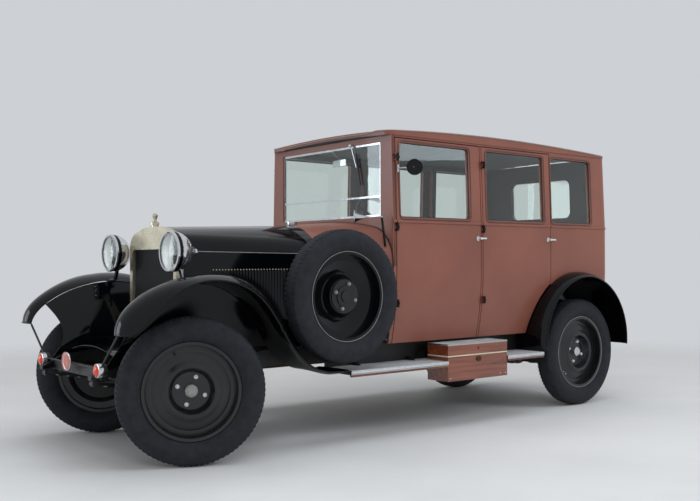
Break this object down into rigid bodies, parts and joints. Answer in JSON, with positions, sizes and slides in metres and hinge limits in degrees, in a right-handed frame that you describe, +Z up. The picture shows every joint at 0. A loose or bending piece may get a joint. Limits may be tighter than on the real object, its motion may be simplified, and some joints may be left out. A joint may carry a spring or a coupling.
{
  "type": "1920s saloon car",
  "caption": "Closed motor car with opening doors, folding bonnet, steered front wheels, spare wheel and tool box on the running board.",
  "frame": {"origin": "on the ground, on the centre line, straight below the front axle", "axes": "+X forward, +Y to the car's left, +Z up"},
  "size_m": [4.182, 1.617, 1.92],
  "materials": {
    "brown_paint": "gloss",
    "black_paint": "gloss",
    "chassis_paint": "satin",
    "nickel": "polished",
    "core_black": "matt",
    "tyre": "matt",
    "glass": "clear",
    "cast": "rough",
    "board": "ribbed",
    "wood": "varnished",
    "floor_wood": "plain",
    "leather": "grained",
    "lamp_plating": "polished",
    "wheel_rim": "gloss"
  },
  "bodies": {
    "car": {"side_frame_left": "brown_paint", "side_frame_right": "brown_paint", "rear_panel": "brown_paint", "scuttle": "brown_paint", "windscreen_surround": "brown_paint", "roof": "brown_paint", "bonnet_hinge": "black_paint", "front_fenders": "black_paint", "rear_fenders": "black_paint", "spare_wheel": "black_paint", "chassis_frame": "chassis_paint", "front_axle": "chassis_paint", "rear_axle": "chassis_paint", "leaf_springs": "chassis_paint", "spare_carrier": "chassis_paint", "steering_column": "chassis_paint", "front_fittings": "chassis_paint", "radiator_shell": "nickel", "windscreen_frame": "nickel", "radiator_core": "core_black", "spare_tyre": "tyre", "fixed_glass": "glass", "windscreen_glass": "glass", "headlamp_lenses": "glass", "engine": "cast", "exhaust_pipe": "cast", "running_boards": "board", "tool_box": "wood", "floor": "floor_wood", "front_seat": "leather", "rear_seat": "leather", "headlamps": "lamp_plating", "horn": "lamp_plating"},
    "knuckle_left": {"knuckle_left": "chassis_paint"},
    "knuckle_right": {"knuckle_right": "chassis_paint"},
    "wheel_front_left": {"wheel_front_left": "black_paint", "tyre_front_left": "tyre"},
    "wheel_front_right": {"wheel_front_right": "black_paint", "tyre_front_right": "tyre"},
    "wheel_rear_left": {"wheel_rear_left": "black_paint", "tyre_rear_left": "tyre"},
    "wheel_rear_right": {"wheel_rear_right": "black_paint", "tyre_rear_right": "tyre"},
    "track_rod": {"track_rod": "chassis_paint"},
    "steering_wheel": {"steering_wheel": "wheel_rim"},
    "door_front_left": {"door_front_left": "brown_paint", "glass_front_left": "glass", "door_mirror": "lamp_plating"},
    "door_front_right": {"door_front_right": "brown_paint", "glass_front_right": "glass"},
    "door_rear_left": {"door_rear_left": "brown_paint", "glass_rear_left": "glass"},
    "door_rear_right": {"door_rear_right": "brown_paint", "glass_rear_right": "glass"},
    "bonnet_top_left": {"bonnet_top_left": "black_paint"},
    "bonnet_top_right": {"bonnet_top_right": "black_paint"},
    "bonnet_side_left": {"bonnet_side_left": "black_paint"},
    "bonnet_side_right": {"bonnet_side_right": "black_paint"},
    "tool_box_lid": {"tool_box_lid": "wood"}
  },
  "joints": [
    {"name": "steer_left", "type": "hinge", "parent": "car", "child": "knuckle_left", "pos_m": [0, 0.55, 0.3875], "axis": [0, 0, 1], "range_deg": [-8, 56]},
    {"name": "steer_right", "type": "hinge", "parent": "car", "child": "knuckle_right", "pos_m": [0, -0.55, 0.3875], "axis": [0, 0, 1], "range_deg": [-8, 56]},
    {"name": "track_rod_pivot", "type": "hinge", "parent": "knuckle_left", "child": "track_rod", "pos_m": [-0.12333, 0.60491, 0.326], "axis": [0, 0, 1], "range_deg": [-56, 8]},
    {"name": "steering_wheel_turn", "type": "hinge", "parent": "car", "child": "steering_wheel", "pos_m": [-1.6, 0.26, 1.32], "axis": [0.788, 0, -0.6157], "range_deg": [-680, 100]},
    {"name": "roll_front_left", "type": "hinge", "parent": "knuckle_left", "child": "wheel_front_left", "pos_m": [0.0244, 0.60481, 0.3875], "axis": [0.4067, 0.9135, 0], "continuous": true},
    {"name": "roll_front_right", "type": "hinge", "parent": "knuckle_right", "child": "wheel_front_right", "pos_m": [-0.0244, -0.60481, 0.3875], "axis": [0.4067, 0.9135, 0], "continuous": true},
    {"name": "roll_rear_left", "type": "hinge", "parent": "car", "child": "wheel_rear_left", "pos_m": [-3.195, 0.61, 0.3875], "axis": [0, 1, 0], "continuous": true},
    {"name": "roll_rear_right", "type": "hinge", "parent": "car", "child": "wheel_rear_right", "pos_m": [-3.195, -0.61, 0.3875], "axis": [0, 1, 0], "continuous": true},
    {"name": "door_front_left_hinge", "type": "hinge", "parent": "car", "child": "door_front_left", "pos_m": [-1.385, 0.657, 1.2], "axis": [0, 0, -1], "range_deg": [0, 70]},
    {"name": "door_front_right_hinge", "type": "hinge", "parent": "car", "child": "door_front_right", "pos_m": [-1.385, -0.657, 1.2], "axis": [0, 0, 1], "range_deg": [0, 70]},
    {"name": "door_rear_left_hinge", "type": "hinge", "parent": "car", "child": "door_rear_left", "pos_m": [-2.163, 0.657, 1.2], "axis": [0, 0, -1], "range_deg": [0, 70]},
    {"name": "door_rear_right_hinge", "type": "hinge", "parent": "car", "child": "door_rear_right", "pos_m": [-2.163, -0.657, 1.2], "axis": [0, 0, 1], "range_deg": [0, 70]},
    {"name": "bonnet_top_left_hinge", "type": "hinge", "parent": "car", "child": "bonnet_top_left", "pos_m": [-0.5185, 0, 1.2675], "axis": [0.9995, 0, -0.0307], "range_deg": [0, 60]},
    {"name": "bonnet_side_left_hinge", "type": "hinge", "parent": "bonnet_top_left", "child": "bonnet_side_left", "pos_m": [-0.5185, 0.31, 1.1135], "axis": [0.993, -0.1173, 0.0159], "range_deg": [-48, 0]},
    {"name": "bonnet_top_right_hinge", "type": "hinge", "parent": "car", "child": "bonnet_top_right", "pos_m": [-0.5185, 0, 1.2675], "axis": [-0.9995, 0, 0.0307], "range_deg": [0, 60]},
    {"name": "bonnet_side_right_hinge", "type": "hinge", "parent": "bonnet_top_right", "child": "bonnet_side_right", "pos_m": [-0.5185, -0.31, 1.1135], "axis": [-0.993, -0.1173, -0.0159], "range_deg": [-48, 0]},
    {"name": "tool_box_lid_hinge", "type": "hinge", "parent": "car", "child": "tool_box_lid", "pos_m": [-1.9985, 0.566, 0.452], "axis": [-1, 0, 0], "range_deg": [-15, 0]}
  ],
  "couplings": [
    {"joint": "steer_right", "follows": "steer_left", "ratio": 1},
    {"joint": "track_rod_pivot", "follows": "steer_left", "ratio": -1},
    {"joint": "steering_wheel_turn", "follows": "steer_left", "ratio": -12},
    {"joint": "bonnet_side_left_hinge", "follows": "bonnet_top_left_hinge", "ratio": -0.8},
    {"joint": "bonnet_side_right_hinge", "follows": "bonnet_top_right_hinge", "ratio": -0.8}
  ]
}
